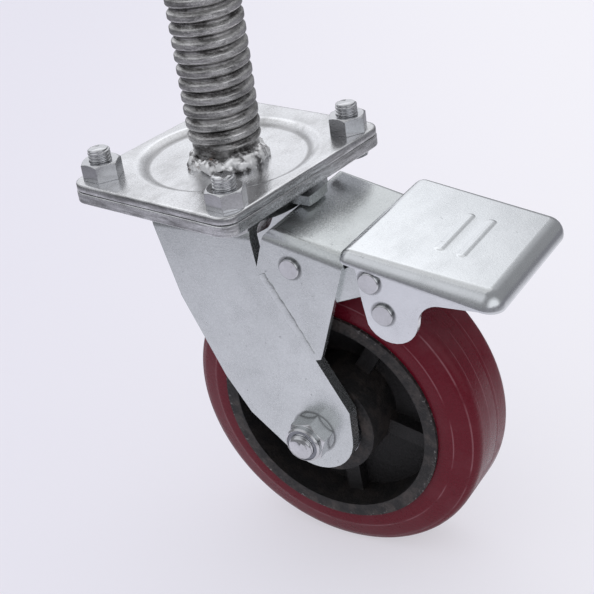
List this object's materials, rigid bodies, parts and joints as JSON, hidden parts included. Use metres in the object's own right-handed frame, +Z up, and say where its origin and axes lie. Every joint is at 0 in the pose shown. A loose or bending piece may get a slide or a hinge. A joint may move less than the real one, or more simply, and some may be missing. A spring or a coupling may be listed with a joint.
{
  "type": "scaffold castor wheel",
  "caption": "Swivel castor with a threaded stem welded to a bolted top plate, trailing fork, braked wheel with a solid maroon tyre on a cast core, and a foot pedal.",
  "frame": {"origin": "on the stem's axis where the wall of its plain upper end stops, below the end chamfer", "axes": "+Z up along the stem and swivel axis, +X along the trail towards the axle and pedal, +Y along the axle towards its bolt head"},
  "size_m": [0.1991, 0.1198, 0.3197],
  "materials": {
    "stem_steel": "worn zinc plating with dark thread roots",
    "weld_steel": "lumpy weld bead, a little rust",
    "plate_zinc": "smudged zinc plating",
    "fastener_zinc": "zinc plating",
    "fork_zinc": "pale blue-grey zinc plating, finely specked",
    "pedal_zinc": "bright zinc plating",
    "bearing_steel": "ground bearing steel",
    "insert_plastic": "plain",
    "core_iron": "black paint on a casting, scuffed at the rim",
    "tyre_maroon": "moulded, satin, dusty"
  },
  "bodies": {
    "stem": {"screw_stem": "stem_steel", "stem_weld": "weld_steel", "stem_plate": "plate_zinc", "castor_plate": "plate_zinc", "plate_bolts": "fastener_zinc", "plate_nuts": "fastener_zinc", "kingpin": "fastener_zinc", "kingpin_nut": "fastener_zinc", "lower_race": "plate_zinc"},
    "fork": {"fork": "fork_zinc", "upper_balls": "bearing_steel", "lower_balls": "bearing_steel", "brake_housing": "fork_zinc", "brake_arm": "fork_zinc", "housing_rivet_pin": "fastener_zinc", "axle_bolt": "fastener_zinc", "lock_nut": "fastener_zinc", "nut_insert": "insert_plastic", "axle_sleeve": "fastener_zinc", "axle_spacers": "fastener_zinc", "bearing_inner_rings": "bearing_steel"},
    "wheel": {"wheel_core": "core_iron", "tyre": "tyre_maroon", "bearing_outer_rings": "bearing_steel", "bearing_balls": "bearing_steel", "bearing_shields": "bearing_steel"},
    "pedal": {"brake_pedal": "pedal_zinc", "pivot_rivet": "fastener_zinc", "roller_rivet": "fastener_zinc", "brake_roller": "fastener_zinc"}
  },
  "joints": [
    {"name": "swivel", "type": "hinge", "parent": "stem", "child": "fork", "pos_m": [0, 0, -0.1364], "axis": [0, 0, 1], "continuous": true},
    {"name": "wheel_spin", "type": "hinge", "parent": "fork", "child": "wheel", "pos_m": [0.04875, 0, -0.24275], "axis": [0, 1, 0], "continuous": true},
    {"name": "pedal_press", "type": "hinge", "parent": "fork", "child": "pedal", "pos_m": [0.08885, 0, -0.15535], "axis": [0, 1, 0], "range_deg": [0, 14]}
  ]
}
